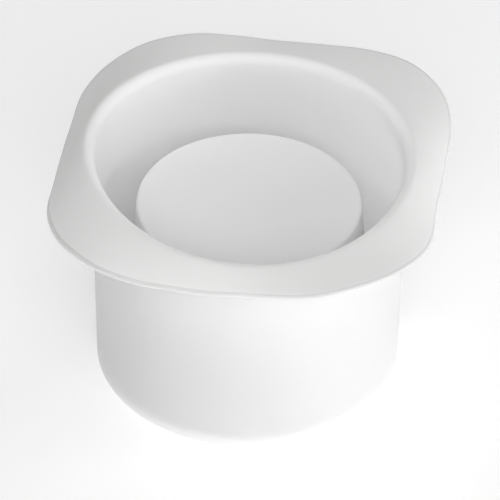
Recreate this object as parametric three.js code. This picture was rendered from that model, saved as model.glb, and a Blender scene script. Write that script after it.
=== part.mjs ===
// Casting mould for a round pot: a soft, thin-skinned cup with a floppy square flange, and a loose
// round core that stands in it over a raised register on the cup's floor.
// Millimetres, +Z up. The origin is the middle of the cup's flat underside.

import * as THREE from 'three';

// ---- driving sizes ----

const roundSteps = 72;

// cup
const cupRadius = 55.3;
const cupFlare = 0.4;
const cupHeight = 89.8;
const skin = 1.4;
const floorThickness = 3;
const footRound = 1.5;
const floorRound = 2.5;
const lipRound = 3.6;

// flange round the mouth: a square with round corners, seen from above
const flangeOverhang = 11.7;
const flangeStraight = 47.6;

// how the soft edge strays from that square: each swell pushes it out by so much, at so many places
const outlineSwells = [
  { places: 1, most: 1.2, azimuth: 0 },
  { places: 3, most: 1.15, azimuth: 59 },
];

// how the lip and the edge wave up and down, the first high place at the azimuth
const lipSwells = [
  { places: 1, most: 3.6, azimuth: 124 },
  { places: 2, most: 1.4, azimuth: 18 },
];
const edgeDrop = 4.6;
const edgeSwells = [
  { places: 1, most: 5.3, azimuth: 74 },
  { places: 2, most: 2.6, azimuth: 104 },
  { places: 3, most: 0.9, azimuth: 54 },
  { places: 4, most: 1.8, azimuth: 40 },
  { places: 5, most: 0.7, azimuth: 29 },
];
const droopPower = 1.4;
const waveDepth = 52;

// core
const channelWidth = 14.3;
const coreBelowLip = 21.5;
const coreDraft = 4.8;
const coreWall = 4;
const coreTopThickness = 4;
const coreEdgeRound = 1.2;

// register that centres the core on the floor
const registerHeight = 6;
const registerClearance = 0.3;
const seatClearance = 0.3;

// ---- sizes that follow ----

const degree = Math.PI / 180;
const mouthRadius = cupRadius + cupFlare;
const mouthInnerRadius = mouthRadius - skin;
const lipRadius = mouthInnerRadius + lipRound;
const flangeHalfSide = mouthRadius + flangeOverhang;
const flangeReach = flangeHalfSide - lipRadius;
const lipRoundZ = cupHeight - lipRound;
const waveStart = cupHeight - waveDepth;
const coreFoot = floorThickness + seatClearance;
const coreTop = cupHeight - coreBelowLip;
const coreTopRadius = mouthInnerRadius - channelWidth;
const draftPerMm = Math.tan(coreDraft * degree);

function cupRadiusAt(z) {
  return THREE.MathUtils.lerp(cupRadius, mouthRadius, z / cupHeight);
}

function coreRadiusAt(z) {
  return coreTopRadius + (coreTop - z) * draftPerMm;
}

function registerRadiusAt(z) {
  return coreRadiusAt(z) - coreWall - registerClearance;
}

// ---- profile helpers ----

// Points on a circular arc in the radius-height plane, both ends included.
function arc(centreRadius, centreZ, radius, fromAngle, toAngle, steps) {
  const points = [];
  for (let step = 0; step <= steps; step += 1) {
    const angle = THREE.MathUtils.lerp(fromAngle, toAngle, step / steps) * degree;
    const x = centreRadius + radius * Math.cos(angle);
    points.push(new THREE.Vector2(x, centreZ + radius * Math.sin(angle)));
  }
  return points;
}

// Points between two heights on a wall whose radius is a function of height, both ends left out.
function wall(radiusAt, fromZ, toZ, spans) {
  const points = [];
  for (let span = 1; span < spans; span += 1) {
    const z = THREE.MathUtils.lerp(fromZ, toZ, span / spans);
    points.push(new THREE.Vector2(radiusAt(z), z));
  }
  return points;
}

// Points between two radii on a level face, both ends left out.
function level(z, fromRadius, toRadius, spans) {
  const points = [];
  for (let span = 1; span < spans; span += 1) {
    points.push(new THREE.Vector2(THREE.MathUtils.lerp(fromRadius, toRadius, span / spans), z));
  }
  return points;
}

// Turns a profile about +Z. The profile starts and ends on the axis, foot first and outside first.
function turned(profile) {
  const geometry = new THREE.LatheGeometry(profile, roundSteps);
  geometry.rotateX(90 * degree);
  return geometry;
}

// ---- the flange's outline and the rim's waves ----

// Distance from the centre to a square with round corners, in the direction of an azimuth.
function squareRadius(azimuth) {
  const quarter = Math.PI / 2;
  const turn = azimuth + quarter / 2;
  const fromSide = Math.abs(turn - quarter * Math.floor(turn / quarter) - quarter / 2);
  const straight = flangeHalfSide / Math.cos(fromSide);
  const cornerCentre = flangeStraight / 2;
  const cornerRadius = flangeHalfSide - cornerCentre;
  if (straight * Math.sin(fromSide) <= cornerCentre) {
    return straight;
  }
  const along = cornerCentre * (Math.cos(fromSide) + Math.sin(fromSide));
  return along + Math.sqrt(along ** 2 - 2 * cornerCentre ** 2 + cornerRadius ** 2);
}

function swell(swells, azimuth) {
  let sum = 0;
  for (const { places, most, azimuth: first } of swells) {
    sum += most * Math.cos(places * (azimuth - first * degree));
  }
  return sum;
}

// Bends the turned cup into shape: the upper wall and lip take the lip's wave, and the flat round
// flange spreads to the square outline and droops towards its own wavy edge at an even thickness.
function bendRim(geometry) {
  const position = geometry.getAttribute('position');
  for (let index = 0; index < position.count; index += 1) {
    const radius = Math.hypot(position.getX(index), position.getY(index));
    const azimuth = Math.atan2(position.getY(index), position.getX(index));
    const z = position.getZ(index);
    const rise = THREE.MathUtils.clamp((z - waveStart) / (lipRoundZ - waveStart), 0, 1) ** 2;
    const lipLift = swell(lipSwells, azimuth);
    const outward = Math.max(0, (radius - lipRadius) / flangeReach);
    const edgeRadius = squareRadius(azimuth) + swell(outlineSwells, azimuth);
    const droop = swell(edgeSwells, azimuth) - edgeDrop - lipLift;
    const slope = droop * droopPower * outward ** (droopPower - 1) / (edgeRadius - lipRadius);
    const depth = cupHeight - z;
    const newRadius = radius + (edgeRadius - flangeHalfSide) * outward;
    let newZ = z + lipLift * rise;
    if (outward > 0) {
      newZ = cupHeight + lipLift + droop * outward ** droopPower - depth * Math.hypot(1, slope);
    }
    position.setXYZ(index, newRadius * Math.cos(azimuth), newRadius * Math.sin(azimuth), newZ);
  }
}

// ---- the pieces ----

function makeMouldCup() {
  const flangeEdge = flangeHalfSide - skin / 2;
  const insideFoot = cupRadiusAt(0) - skin;
  const registerTop = floorThickness + registerHeight;
  const cupInnerRadiusAt = (z) => cupRadiusAt(z) - skin;
  const floorRoundTop = floorThickness + floorRound;
  const profile = [
    new THREE.Vector2(0, 0),
    ...arc(cupRadius - footRound, footRound, footRound, -90, 0, 3),
    ...wall(cupRadiusAt, footRound, lipRoundZ, 7),
    ...arc(lipRadius, lipRoundZ, lipRound - skin, 180, 90, 4),
    ...level(cupHeight - skin, lipRadius, flangeEdge, 5),
    ...arc(flangeEdge, cupHeight - skin / 2, skin / 2, -90, 90, 4),
    ...level(cupHeight, flangeEdge, lipRadius, 5),
    ...arc(lipRadius, lipRoundZ, lipRound, 90, 180, 6),
    ...wall(cupInnerRadiusAt, lipRoundZ, floorRoundTop, 7),
    ...arc(insideFoot - floorRound, floorRoundTop, floorRound, 0, -90, 3),
    new THREE.Vector2(registerRadiusAt(floorThickness), floorThickness),
    new THREE.Vector2(registerRadiusAt(registerTop), registerTop),
    new THREE.Vector2(0, registerTop),
  ];
  const geometry = turned(profile);
  bendRim(geometry);
  const material = new THREE.MeshStandardMaterial({ color: 0xf4f4f2, roughness: 0.6, metalness: 0 });
  const mesh = new THREE.Mesh(geometry, material);
  mesh.name = 'mould_cup';
  return mesh;
}

function makeCore() {
  const hollowTop = coreTop - coreTopThickness;
  const edgeCentre = coreTopRadius - coreEdgeRound;
  const profile = [
    new THREE.Vector2(0, hollowTop),
    new THREE.Vector2(coreRadiusAt(hollowTop) - coreWall, hollowTop),
    new THREE.Vector2(coreRadiusAt(coreFoot) - coreWall, coreFoot),
    new THREE.Vector2(coreRadiusAt(coreFoot), coreFoot),
    ...wall(coreRadiusAt, coreFoot, coreTop - coreEdgeRound, 4),
    ...arc(edgeCentre, coreTop - coreEdgeRound, coreEdgeRound, coreDraft, 90, 4),
    new THREE.Vector2(0, coreTop),
  ];
  const material = new THREE.MeshStandardMaterial({ color: 0xefefed, roughness: 0.55, metalness: 0 });
  const mesh = new THREE.Mesh(turned(profile), material);
  mesh.name = 'core';
  return mesh;
}

const group = new THREE.Group();
group.add(makeMouldCup());
group.add(makeCore());

export default group;
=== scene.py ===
"""Casting mould for a round pot: a soft white skin with a floppy flange, and a firm core inside it."""

import math

import bpy
import numpy as np
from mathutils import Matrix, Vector


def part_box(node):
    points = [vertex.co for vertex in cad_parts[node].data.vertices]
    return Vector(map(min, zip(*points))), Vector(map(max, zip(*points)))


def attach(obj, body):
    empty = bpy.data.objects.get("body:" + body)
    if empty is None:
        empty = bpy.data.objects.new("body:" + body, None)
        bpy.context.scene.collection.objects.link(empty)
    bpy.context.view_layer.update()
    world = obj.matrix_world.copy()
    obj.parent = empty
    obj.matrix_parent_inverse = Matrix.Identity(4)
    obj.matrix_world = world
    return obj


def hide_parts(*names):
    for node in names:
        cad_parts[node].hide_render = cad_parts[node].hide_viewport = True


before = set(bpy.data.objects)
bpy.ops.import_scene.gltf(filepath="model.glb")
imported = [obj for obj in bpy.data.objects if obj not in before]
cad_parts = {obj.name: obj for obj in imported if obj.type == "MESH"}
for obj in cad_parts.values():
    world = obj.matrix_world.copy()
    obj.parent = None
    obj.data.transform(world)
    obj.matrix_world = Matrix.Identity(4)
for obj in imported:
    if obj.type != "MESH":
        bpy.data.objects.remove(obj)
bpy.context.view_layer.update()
core_low, core_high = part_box("core")

MM = 0.001

# ---- sizes of the mould, in millimetres, as the moulder works them ----

CUP_RADIUS = 55.3
CUP_FLARE = 0.4
CUP_HEIGHT = 89.8
SKIN = 1.4
FLOOR_THICKNESS = 3.0
FOOT_ROUND = 1.5
FLOOR_ROUND = 2.5
LIP_ROUND = 3.6

FLANGE_OVERHANG = 11.7
FLANGE_STRAIGHT = 47.6
DROOP_POWER = 1.4
WAVE_DEPTH = 52.0
EDGE_DROP = 4.6
# (how many swells go round the rim, how far each moves it, the azimuth of the first)
OUTLINE_SWELLS = ((1, 1.2, 0), (3, 1.15, 59))
LIP_SWELLS = ((1, 3.6, 124), (2, 1.4, 18))
EDGE_SWELLS = ((1, 5.3, 74), (2, 2.6, 104), (3, 0.9, 54), (4, 1.8, 40), (5, 0.7, 29))
# slight unevenness of the soft wall and of the trimmed edge, in the same terms
WALL_RIPPLES = ((5, 0.10, 20), (7, 0.08, 41), (11, 0.04, 9))
TRIM_RIPPLES = ((9, 0.12, 13), (14, 0.08, 5), (23, 0.05, 2))
# how far round, in radians, the edge's ripples up and down stand from those in and out
RIPPLE_SHIFT = 1
# the share of the flange's painted shade that only the trimmed edge has, over the rest of the flange
EDGE_SHADE_SHARE = 0.35

CORE_FOOT = core_low.z / MM
CORE_TOP = core_high.z / MM
CHANNEL_WIDTH = 14.3
CORE_DRAFT = math.radians(4.8)
CORE_WALL = 4.0
CORE_TOP_THICKNESS = 4.0
CORE_EDGE_ROUND = 1.2
CORE_TOP_SINK = 0.25

REGISTER_HEIGHT = 6.0
REGISTER_CLEARANCE = 0.3

MOUTH_RADIUS = CUP_RADIUS + CUP_FLARE
MOUTH_INNER_RADIUS = MOUTH_RADIUS - SKIN
LIP_RADIUS = MOUTH_INNER_RADIUS + LIP_ROUND
LIP_ROUND_Z = CUP_HEIGHT - LIP_ROUND
FLANGE_HALF_SIDE = MOUTH_RADIUS + FLANGE_OVERHANG
CORE_TOP_RADIUS = MOUTH_INNER_RADIUS - CHANNEL_WIDTH

ROUND_STEPS = 360
WALL_STEPS = 40
ARC_STEPS = 8
LIP_STEPS = 16


# ---- outlines ----


def arc(centre_r, centre_z, radius, start, stop, steps):
    """Points on a circle in the radius-height plane: the centre plus the radius times the cosine and the
    sine of the angle."""
    angle = np.radians(np.linspace(start, stop, steps + 1))
    return np.stack([centre_r + radius * np.cos(angle), centre_z + radius * np.sin(angle)], 1)


def line(start, stop, steps):
    """Evenly spaced points from start to stop, both left out."""
    share = np.linspace(0, 1, steps + 1)[1:-1, None]
    return np.asarray(start, float) * (1 - share) + np.asarray(stop, float) * share


def core_radius(z):
    """The core's radius at a height: its top radius plus the draft's tangent times the depth below its
    top."""
    return CORE_TOP_RADIUS + (CORE_TOP - z) * math.tan(CORE_DRAFT)


def register_radius(z):
    """The core's radius less its wall and the clearance, so that the core slips over the register."""
    return core_radius(z) - CORE_WALL - REGISTER_CLEARANCE


def cup_radius(z):
    """The cup's outer radius at a height: the foot's radius plus a flare in proportion to the height."""
    return CUP_RADIUS + CUP_FLARE * z / CUP_HEIGHT


def square_radius(azimuth):
    """Distance from the centre to a square with round corners, worked out in one eighth of it: the half
    side over the cosine on a straight side, and the far root of the corner's circle round a corner."""
    quarter = math.pi / 2
    turn = np.abs(np.mod(azimuth + quarter / 2, quarter) - quarter / 2)
    straight = FLANGE_HALF_SIDE / np.cos(turn)
    corner = FLANGE_STRAIGHT / 2
    along = corner * (np.cos(turn) + np.sin(turn))
    inside = along**2 - 2 * corner**2 + (FLANGE_HALF_SIDE - corner) ** 2
    rounded = along + np.sqrt(np.maximum(inside, 0))
    return np.where(straight * np.sin(turn) > corner, rounded, straight)


def swell(swells, azimuth):
    """Sum of cosines of the azimuth, one for each set of swells."""
    return sum(most * np.cos(count * (azimuth - math.radians(first))) for count, most, first in swells)


# ---- surfaces ----


def surface(name, points, **finish_and_painted_light):
    """A mesh from a grid of points, rows along the profile and columns round the axis, with the first and
    last rows drawn together to one point each on the axis. Each row keeps its values of the finish and of
    the painted light and shade."""
    rows, columns = points.shape[:2]
    ring = np.arange(rows * columns).reshape(rows, columns)
    below, above = ring[:-1], ring[1:]
    quads = np.stack([below, np.roll(below, -1, 1), np.roll(above, -1, 1), above], -1).reshape(-1, 4)
    first, last = rows * columns, rows * columns + 1
    start_fan = np.stack([np.full(columns, first), np.roll(ring[0], -1), ring[0]], 1)
    end_fan = np.stack([np.full(columns, last), ring[-1], np.roll(ring[-1], -1)], 1)
    poles = np.array([[0, 0, points[0, :, 2].mean()], [0, 0, points[-1, :, 2].mean()]])
    vertices = np.concatenate([points.reshape(-1, 3), poles]) * MM
    mesh = bpy.data.meshes.new(name)
    mesh.from_pydata(vertices.tolist(), [], quads.tolist() + start_fan.tolist() + end_fan.tolist())
    mesh.polygons.foreach_set("use_smooth", np.ones(len(mesh.polygons), bool))
    for kind, of_row in finish_and_painted_light.items():
        of_point = np.concatenate([np.repeat(of_row, columns), of_row[[0, -1]]])
        mesh.attributes.new(kind, "FLOAT", "POINT").data.foreach_set("value", of_point.astype(np.float32))
    mesh.update()
    piece = bpy.data.objects.new(name, mesh)
    bpy.context.scene.collection.objects.link(piece)
    return piece


def round_grid(profile):
    """Radius, azimuth and height of every point of a profile turned about the axis."""
    azimuth = np.linspace(0, 2 * math.pi, ROUND_STEPS, endpoint=False)[None, :]
    radius = profile[:, :1] + 0 * azimuth
    height = profile[:, 1:] + 0 * azimuth
    return radius, azimuth + 0 * radius, height


def placed(radius, azimuth, height):
    """Points from radius, azimuth and height: the radius times the azimuth's cosine and sine, and the
    height."""
    return np.stack([radius * np.cos(azimuth), radius * np.sin(azimuth), height], -1)


def bent_rim(radius, azimuth, height):
    """The flat round flange spread to its square outline and drooped as a power of the distance from the
    lip, at an even thickness, with the lip's wave carried down the wall as a square of the height."""
    wave_start = CUP_HEIGHT - WAVE_DEPTH
    rise = np.clip((height - wave_start) / (LIP_ROUND_Z - wave_start), 0, 1) ** 2
    lip_lift = swell(LIP_SWELLS, azimuth)
    outward = np.maximum(0, (radius - LIP_RADIUS) / (FLANGE_HALF_SIDE - LIP_RADIUS))
    edge_radius = square_radius(azimuth) + swell(OUTLINE_SWELLS, azimuth) + swell(TRIM_RIPPLES, azimuth)
    up_down = swell(TRIM_RIPPLES, azimuth + RIPPLE_SHIFT)
    droop = swell(EDGE_SWELLS, azimuth) - EDGE_DROP - lip_lift + up_down
    slope = droop * DROOP_POWER * outward ** (DROOP_POWER - 1) / (edge_radius - LIP_RADIUS)
    depth = CUP_HEIGHT - height
    flange_z = CUP_HEIGHT + lip_lift + droop * outward**DROOP_POWER - depth * np.hypot(1, slope)
    new_radius = radius + (edge_radius - FLANGE_HALF_SIDE) * outward
    return new_radius, azimuth, np.where(outward > 0, flange_z, height + lip_lift * rise)


def uneven_wall(radius, azimuth, height):
    """The round wall eased in and out by its ripples times half a sine wave from the foot to the lip."""
    on_wall = (radius > CORE_TOP_RADIUS + CHANNEL_WIDTH / 2) & (height > FLOOR_THICKNESS)
    share = np.clip(height / LIP_ROUND_Z, 0, 1)
    ease = np.sin(math.pi * share) * swell(WALL_RIPPLES, azimuth)
    return radius + np.where(on_wall, ease, 0), azimuth, height


def make_cup():
    """The soft skin: a profile turned about the axis, from under the floor up the outside, round the
    flange's edge, over the lip and down the inside to the register, then bent and made uneven. The finish
    turns from plain to polished over the lip. A mask of painted shade greys the flange, most at its
    trimmed edge."""
    edge = FLANGE_HALF_SIDE - SKIN / 2
    under, top = CUP_HEIGHT - SKIN, CUP_HEIGHT
    floor_round_top = FLOOR_THICKNESS + FLOOR_ROUND
    inside_foot = cup_radius(0) - SKIN
    floor_edge = (inside_foot - FLOOR_ROUND, FLOOR_THICKNESS)
    register_z = FLOOR_THICKNESS + REGISTER_HEIGHT
    register_foot = (register_radius(FLOOR_THICKNESS), FLOOR_THICKNESS)
    register_top = (register_radius(register_z), register_z)
    outside = np.concatenate([
        line((0, 0), (CUP_RADIUS - FOOT_ROUND, 0), steps=12),
        arc(CUP_RADIUS - FOOT_ROUND, FOOT_ROUND, FOOT_ROUND, -90, 0, ARC_STEPS),
        line((cup_radius(FOOT_ROUND), FOOT_ROUND), (MOUTH_RADIUS, LIP_ROUND_Z), WALL_STEPS),
        arc(LIP_RADIUS, LIP_ROUND_Z, LIP_ROUND - SKIN, 180, 90, steps=10),
        line((LIP_RADIUS, under), (edge, under), steps=18),
        arc(edge, CUP_HEIGHT - SKIN / 2, SKIN / 2, -90, 90, steps=10),
        line((edge, top), (LIP_RADIUS, top), steps=20),
    ])
    lip = arc(LIP_RADIUS, LIP_ROUND_Z, LIP_ROUND, 90, 180, LIP_STEPS)
    inside = np.concatenate([
        line((MOUTH_INNER_RADIUS, LIP_ROUND_Z), (inside_foot, floor_round_top), WALL_STEPS),
        arc(inside_foot - FLOOR_ROUND, floor_round_top, FLOOR_ROUND, 0, -90, ARC_STEPS),
        line(floor_edge, register_foot, steps=6),
        [register_foot, register_top],
        line(register_top, (0, register_z), steps=10),
    ])
    profile = np.concatenate([outside, lip, inside])
    # the polish mask also sets painted light: the cast faces are painted whiter
    polish = np.concatenate([np.zeros(len(outside)), np.linspace(0, 1, len(lip)), np.ones(len(inside))])
    past_lip = np.clip((profile[:, 0] - MOUTH_INNER_RADIUS) / LIP_ROUND, 0, 1)
    on_flange = past_lip * (profile[:, 1] > LIP_ROUND_Z)
    on_edge = profile[:, 0] > edge
    # painted shade mask: greys the flange, most at its trimmed edge
    loose = (1 - EDGE_SHADE_SHARE) * on_flange + EDGE_SHADE_SHARE * on_edge
    points = placed(*uneven_wall(*bent_rim(*round_grid(profile))))
    return surface("mould_skin", points, polish=polish, loose=loose)


def make_core():
    """The core: a hollow profile turned about the axis, from under its top down the inside, round the foot
    and up the drafted outside, its top sunk in the middle by a cosine of the share of the radius."""
    hollow_top = CORE_TOP - CORE_TOP_THICKNESS
    edge_centre = CORE_TOP_RADIUS - CORE_EDGE_ROUND
    edge_low = CORE_TOP - CORE_EDGE_ROUND
    inner_top = (core_radius(hollow_top) - CORE_WALL, hollow_top)
    inner_foot = (core_radius(CORE_FOOT) - CORE_WALL, CORE_FOOT)
    outer_foot = (core_radius(CORE_FOOT), CORE_FOOT)
    hollow = np.concatenate([
        line((0, hollow_top), inner_top, steps=10),
        [inner_top],
        line(inner_top, inner_foot, steps=14),
        [inner_foot, outer_foot],
    ])
    top = line((edge_centre, CORE_TOP), (0, CORE_TOP), steps=24)
    top[:, 1] -= CORE_TOP_SINK * np.cos(top[:, 0] / edge_centre * math.pi / 2) ** 2
    outside = np.concatenate([
        line(outer_foot, (core_radius(edge_low), edge_low), steps=20),
        arc(edge_centre, edge_low, CORE_EDGE_ROUND, math.degrees(CORE_DRAFT), 90, ARC_STEPS),
        top,
    ])
    # the polish mask also sets painted light: the core's cast faces are painted whiter
    polish = np.concatenate([np.zeros(len(hollow)), np.ones(len(outside))])
    points = placed(*round_grid(np.concatenate([hollow, outside])))
    return surface("core_body", points, polish=polish)


# ---- materials ----

# the cast faces inside the mould are painted whiter than the outside, as painted light
OUTER_WHITE, CAST_FACE_WHITE = 0.95, 0.985
OUTER_ROUGHNESS, CAST_FACE_ROUGHNESS = 0.6, 0.46
# the white where the clouding is strongest, and the blue, as shares of the plain white
CLOUDED, BLUE_SHARE = 0.98, 0.995
# how far patches stray from the plain roughness
PATCHINESS = 0.05
SHEEN_LEVEL = 0.2

# grains to the metre
CLOUD_GRAINS, PATCH_GRAINS, UNEVEN_GRAINS, FINE_GRAINS = 26, 140, 70, 1600
# the noise is taken as running between these, and what lies past them is held
NOISE_LOW, NOISE_HIGH = 0.3, 0.7


def noise(nodes, links, place, grains, detail, roughness=0.5):
    """A noise pattern on the piece's own coordinates, with so many grains to the metre."""
    pattern = nodes.new("ShaderNodeTexNoise")
    pattern.inputs["Scale"].default_value = grains
    pattern.inputs["Detail"].default_value = detail
    pattern.inputs["Roughness"].default_value = roughness
    links.new(place, pattern.inputs["Vector"])
    return pattern.outputs["Fac"]


def spread(nodes, links, value, low, high, to_low, to_high):
    """The value carried from one range to another, held inside the second."""
    mapping = nodes.new("ShaderNodeMapRange")
    for name, number in (("From Min", low), ("From Max", high), ("To Min", to_low), ("To Max", to_high)):
        mapping.inputs[name].default_value = number
    links.new(value, mapping.inputs["Value"])
    return mapping.outputs["Result"]


def joined(nodes, links, operation, one, other):
    """Two values put together by a sum or a product."""
    maths = nodes.new("ShaderNodeMath")
    maths.operation = operation
    links.new(one, maths.inputs[0])
    links.new(other, maths.inputs[1])
    return maths.outputs["Value"]


def share_of(nodes, links, value, share):
    """A value times a number."""
    maths = nodes.new("ShaderNodeMath")
    maths.operation = "MULTIPLY"
    maths.inputs[1].default_value = share
    links.new(value, maths.inputs[0])
    return maths.outputs["Value"]


def kept_finish_and_painted_light(nodes, name):
    """The value that the piece's points keep under a name, for a finish or for painted light and shade."""
    finish_and_painted_light = nodes.new("ShaderNodeAttribute")
    finish_and_painted_light.attribute_name = name
    return finish_and_painted_light.outputs["Fac"]


def bump(nodes, links, pattern, strength, distance):
    """A bump node that raises its pattern by so many metres at most."""
    raised = nodes.new("ShaderNodeBump")
    raised.inputs["Strength"].default_value = strength
    raised.inputs["Distance"].default_value = distance
    links.new(pattern, raised.inputs["Height"])
    return raised


def silicone(name, depth, cast_depth, loose_grey):
    """Moulded silicone: light goes in by one depth outside and by another on the polished cast faces, which
    are smoother and painted whiter as painted light inside the mould. The white clouds slowly and is
    painted greyer by a share as painted shade where the thin skin hangs loose, the roughness is patchy, and
    a fine grain and a slow unevenness bump it."""
    material = bpy.data.materials.new(name)
    material.use_nodes = True
    nodes, links = material.node_tree.nodes, material.node_tree.links
    shader = nodes["Principled BSDF"]
    shader.inputs["Specular IOR Level"].default_value = SHEEN_LEVEL
    shader.inputs["Subsurface Weight"].default_value = 1.0
    shader.inputs["Subsurface Radius"].default_value = (1.0, 1.0, 1.0)
    shader.inputs["Subsurface Scale"].default_value = depth
    place = nodes.new("ShaderNodeTexCoord").outputs["Object"]
    polish = kept_finish_and_painted_light(nodes, "polish")
    if cast_depth != depth:
        deeper = spread(nodes, links, polish, 0, 1, depth, cast_depth)
        links.new(deeper, shader.inputs["Subsurface Scale"])

    # painted light: the polished cast faces are painted whiter than the outside
    white_with_painted_light = spread(nodes, links, polish, 0, 1, OUTER_WHITE, CAST_FACE_WHITE)
    clouds = noise(nodes, links, place, CLOUD_GRAINS, detail=3)
    clouds = spread(nodes, links, clouds, NOISE_LOW, NOISE_HIGH, CLOUDED, 1)
    shade = joined(nodes, links, "MULTIPLY", white_with_painted_light, clouds)
    # painted shade: the flange is painted greyer, most at its trimmed edge
    if loose_grey > 0:
        painted_shade = spread(nodes, links, kept_finish_and_painted_light(nodes, "loose"), 0, 1, 1, 1 - loose_grey)
        shade = joined(nodes, links, "MULTIPLY", shade, painted_shade)
    colour = nodes.new("ShaderNodeCombineColor")
    links.new(shade, colour.inputs["Red"])
    links.new(shade, colour.inputs["Green"])
    links.new(share_of(nodes, links, shade, BLUE_SHARE), colour.inputs["Blue"])
    links.new(colour.outputs["Color"], shader.inputs["Base Color"])

    smooth = spread(nodes, links, polish, 0, 1, OUTER_ROUGHNESS, CAST_FACE_ROUGHNESS)
    patches = noise(nodes, links, place, PATCH_GRAINS, detail=4, roughness=0.6)
    patches = spread(nodes, links, patches, NOISE_LOW, NOISE_HIGH, -PATCHINESS, PATCHINESS)
    links.new(joined(nodes, links, "ADD", smooth, patches), shader.inputs["Roughness"])

    slow = noise(nodes, links, place, UNEVEN_GRAINS, detail=2)
    fine = noise(nodes, links, place, FINE_GRAINS, detail=3, roughness=0.7)
    uneven = bump(nodes, links, slow, strength=0.25, distance=0.3 * MM)
    grain = bump(nodes, links, fine, strength=0.2, distance=0.03 * MM)
    links.new(uneven.outputs["Normal"], grain.inputs["Normal"])
    links.new(grain.outputs["Normal"], shader.inputs["Normal"])
    return material


# ---- camera, light and floor ----


def direction(azimuth, elevation):
    """Unit vector towards an azimuth and an elevation, both in degrees."""
    turn, tilt = math.radians(azimuth), math.radians(elevation)
    return Vector((math.cos(turn) * math.cos(tilt), math.sin(turn) * math.cos(tilt), math.sin(tilt)))


def aimed(name, data, place, target):
    """An object at a place whose view or beam points at the target."""
    thing = bpy.data.objects.new(name, data)
    bpy.context.scene.collection.objects.link(thing)
    thing.location = place
    thing.rotation_euler = (Vector(target) - Vector(place)).to_track_quat("-Z", "Y").to_euler()
    return thing


def make_camera():
    """A long lens in front of the mould and above it, turned a little about its line of sight."""
    data = bpy.data.cameras.new("camera")
    data.lens = 208.8
    data.sensor_width = 36
    aim = Vector((0.0005, 0, 0.0455))
    distance, roll = 1.041, math.radians(0.8)
    camera = aimed("camera", data, aim + direction(azimuth=-81, elevation=39.1) * distance, aim)
    camera.rotation_euler.rotate_axis("Z", roll)
    bpy.context.scene.camera = camera


def make_floor():
    """A wide white sheet under the mould that glows a little, as a lit white sweep does."""
    half, grey, glow = 6.0, 0.75, 0.35
    corners = [(-half, -half, 0), (half, -half, 0), (half, half, 0), (-half, half, 0)]
    mesh = bpy.data.meshes.new("floor")
    mesh.from_pydata(corners, [], [(0, 1, 2, 3)])
    floor = bpy.data.objects.new("floor", mesh)
    bpy.context.scene.collection.objects.link(floor)
    material = bpy.data.materials.new("pale_floor")
    material.use_nodes = True
    shader = material.node_tree.nodes["Principled BSDF"]
    shader.inputs["Base Color"].default_value = (grey, grey, grey, 1)
    shader.inputs["Roughness"].default_value = 0.9
    shader.inputs["Emission Color"].default_value = (1, 1, 1, 1)
    shader.inputs["Emission Strength"].default_value = glow
    mesh.materials.append(material)


def make_lights():
    """Six round soft lamps, all of one size and at one distance from the mould, and a faint even light."""
    across, away, even_light = 1.0, 1.6, 0.03
    world = bpy.data.worlds.new("studio")
    world.use_nodes = True
    world.node_tree.nodes["Background"].inputs["Color"].default_value = (1, 1, 1, 1)
    world.node_tree.nodes["Background"].inputs["Strength"].default_value = even_light
    bpy.context.scene.world = world
    middle = Vector((0, 0, 0.05))
    # (name, azimuth and elevation in degrees, power in watts)
    for name, azimuth, elevation, power in (
        ("front_lamp", -81, 38, 12.4),
        ("low_lamp", -41, 10, 10.6),
        ("right_lamp", 9, 12, 6.4),
        ("rear_right_lamp", 54, 50, 4.3),
        ("rear_left_lamp", 169, 38, 5.2),
        ("top_lamp", 0, 85, 2.6),
    ):
        data = bpy.data.lights.new(name, "AREA")
        data.shape = "DISK"
        data.size = across
        data.energy = power
        lamp = aimed(name, data, middle + direction(azimuth, elevation) * away, middle)
        lamp.visible_camera = False


make_camera()
make_floor()
make_lights()
bpy.context.scene.view_settings.view_transform = "Standard"

cup = make_cup()
# the soft skin's flange takes painted shade, up to a share of 0.42 off its white
cup.data.materials.append(silicone("soft_white_silicone", 5.5 * MM, 12.5 * MM, loose_grey=0.42))
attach(cup, "cup")
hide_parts("mould_cup")

core = make_core()
core.data.materials.append(silicone("firm_white_silicone", 4 * MM, 4 * MM, loose_grey=0))
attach(core, "core")
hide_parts("core")
